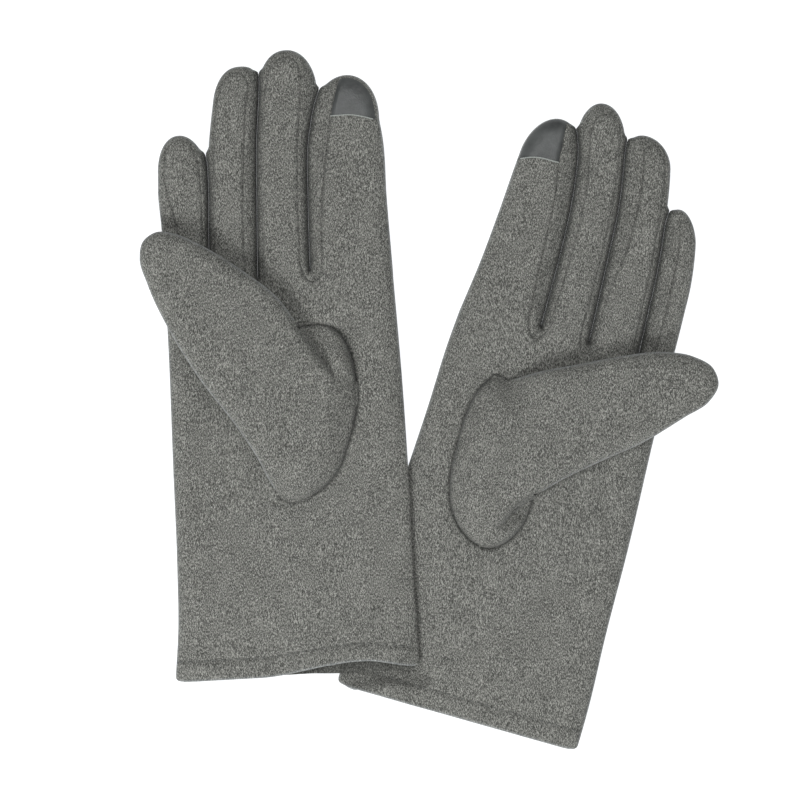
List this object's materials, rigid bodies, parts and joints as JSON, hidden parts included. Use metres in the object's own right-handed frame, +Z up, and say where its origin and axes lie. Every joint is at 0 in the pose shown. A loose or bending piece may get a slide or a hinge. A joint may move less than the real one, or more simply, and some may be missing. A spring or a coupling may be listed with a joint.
{
  "type": "touchscreen gloves",
  "caption": "Pair of brushed-knit gloves, palm up, with folded thumbs, sewn finger strips, a stitched hem and a smooth fingertip patch for touchscreens.",
  "frame": {"origin": "centre of the bottom of the box around both gloves, on the surface they lie on", "axes": "+Y to the fingertips, +X to the right across the pair, +Z up out of the palms"},
  "size_m": [0.2174, 0.2662, 0.0183],
  "materials": {
    "brushed_knit": "soft brushed heathered knit",
    "hem_cloth": "soft brushed knit, turned up and pressed",
    "touch_pad": "smooth satin coated cloth",
    "sewing_thread": "matte spun polyester thread"
  },
  "bodies": {
    "left_glove": {"left_fourchette_index_middle": "brushed_knit", "left_fourchette_middle_ring": "brushed_knit", "left_fourchette_ring_little": "brushed_knit", "left_palm_panel": "brushed_knit", "left_back_panel": "brushed_knit", "left_cuff_hem": "hem_cloth", "left_hem_stitching": "sewing_thread", "left_thumb_gusset": "brushed_knit"},
    "left_thumb": {"left_thumb_stall": "brushed_knit"},
    "left_index_fingertip": {"left_index_stall": "brushed_knit", "left_index_strip_facing_middle": "brushed_knit", "left_touch_patch": "touch_pad", "left_patch_edge_stitching": "sewing_thread"},
    "left_middle_fingertip": {"left_middle_stall": "brushed_knit", "left_middle_strip_facing_index": "brushed_knit", "left_middle_strip_facing_ring": "brushed_knit"},
    "left_ring_fingertip": {"left_ring_stall": "brushed_knit", "left_ring_strip_facing_middle": "brushed_knit", "left_ring_strip_facing_little": "brushed_knit"},
    "left_little_fingertip": {"left_little_stall": "brushed_knit", "left_little_strip_facing_ring": "brushed_knit"},
    "right_glove": {"right_fourchette_index_middle": "brushed_knit", "right_fourchette_middle_ring": "brushed_knit", "right_fourchette_ring_little": "brushed_knit", "right_palm_panel": "brushed_knit", "right_back_panel": "brushed_knit", "right_cuff_hem": "hem_cloth", "right_hem_stitching": "sewing_thread", "right_thumb_gusset": "brushed_knit"},
    "right_thumb": {"right_thumb_stall": "brushed_knit"},
    "right_index_fingertip": {"right_index_stall": "brushed_knit", "right_index_strip_facing_middle": "brushed_knit", "right_touch_patch": "touch_pad", "right_patch_edge_stitching": "sewing_thread"},
    "right_middle_fingertip": {"right_middle_stall": "brushed_knit", "right_middle_strip_facing_index": "brushed_knit", "right_middle_strip_facing_ring": "brushed_knit"},
    "right_ring_fingertip": {"right_ring_stall": "brushed_knit", "right_ring_strip_facing_middle": "brushed_knit", "right_ring_strip_facing_little": "brushed_knit"},
    "right_little_fingertip": {"right_little_stall": "brushed_knit", "right_little_strip_facing_ring": "brushed_knit"}
  },
  "joints": [
    {"name": "left_index_curl", "type": "hinge", "parent": "left_glove", "child": "left_index_fingertip", "pos_m": [0.03817, 0.0672, 0.0096], "axis": [0.9553, -0.2957, 0], "range_deg": [0, 90]},
    {"name": "left_middle_curl", "type": "hinge", "parent": "left_glove", "child": "left_middle_fingertip", "pos_m": [0.06194, 0.06556, 0.0096], "axis": [0.9796, -0.2011, 0], "range_deg": [0, 90]},
    {"name": "left_ring_curl", "type": "hinge", "parent": "left_glove", "child": "left_ring_fingertip", "pos_m": [0.07855, 0.0567, 0.0096], "axis": [0.9806, -0.1959, 0], "range_deg": [0, 90]},
    {"name": "left_little_curl", "type": "hinge", "parent": "left_glove", "child": "left_little_fingertip", "pos_m": [0.0926, 0.04137, 0.0096], "axis": [0.9751, -0.2215, 0], "range_deg": [0, 90]},
    {"name": "left_thumb_lift", "type": "hinge", "parent": "left_glove", "child": "left_thumb", "pos_m": [0.03012, -0.01989, 0.01835], "axis": [-0.0711, -0.9975, 0], "range_deg": [0, 120]},
    {"name": "right_index_curl", "type": "hinge", "parent": "right_glove", "child": "right_index_fingertip", "pos_m": [-0.03019, 0.08377, 0.0096], "axis": [0.999, 0.0454, 0], "range_deg": [0, 90]},
    {"name": "right_middle_curl", "type": "hinge", "parent": "right_glove", "child": "right_middle_fingertip", "pos_m": [-0.05482, 0.08735, 0.0096], "axis": [1, 0.0035, 0], "range_deg": [0, 90]},
    {"name": "right_ring_curl", "type": "hinge", "parent": "right_glove", "child": "right_ring_fingertip", "pos_m": [-0.07435, 0.08327, 0.0096], "axis": [0.9999, 0.0105, 0], "range_deg": [0, 90]},
    {"name": "right_little_curl", "type": "hinge", "parent": "right_glove", "child": "right_little_fingertip", "pos_m": [-0.09343, 0.07122, 0.0096], "axis": [0.9987, 0.0506, 0], "range_deg": [0, 90]},
    {"name": "right_thumb_lift", "type": "hinge", "parent": "right_glove", "child": "right_thumb", "pos_m": [-0.04283, -0.01494, 0.01835], "axis": [0.4467, 0.8947, 0], "range_deg": [0, 120]},
    {"name": "right_glove_lift", "type": "slide", "parent": "left_glove", "child": "right_glove", "axis": [0, 0, 1], "range_m": [0, 0.08]}
  ]
}
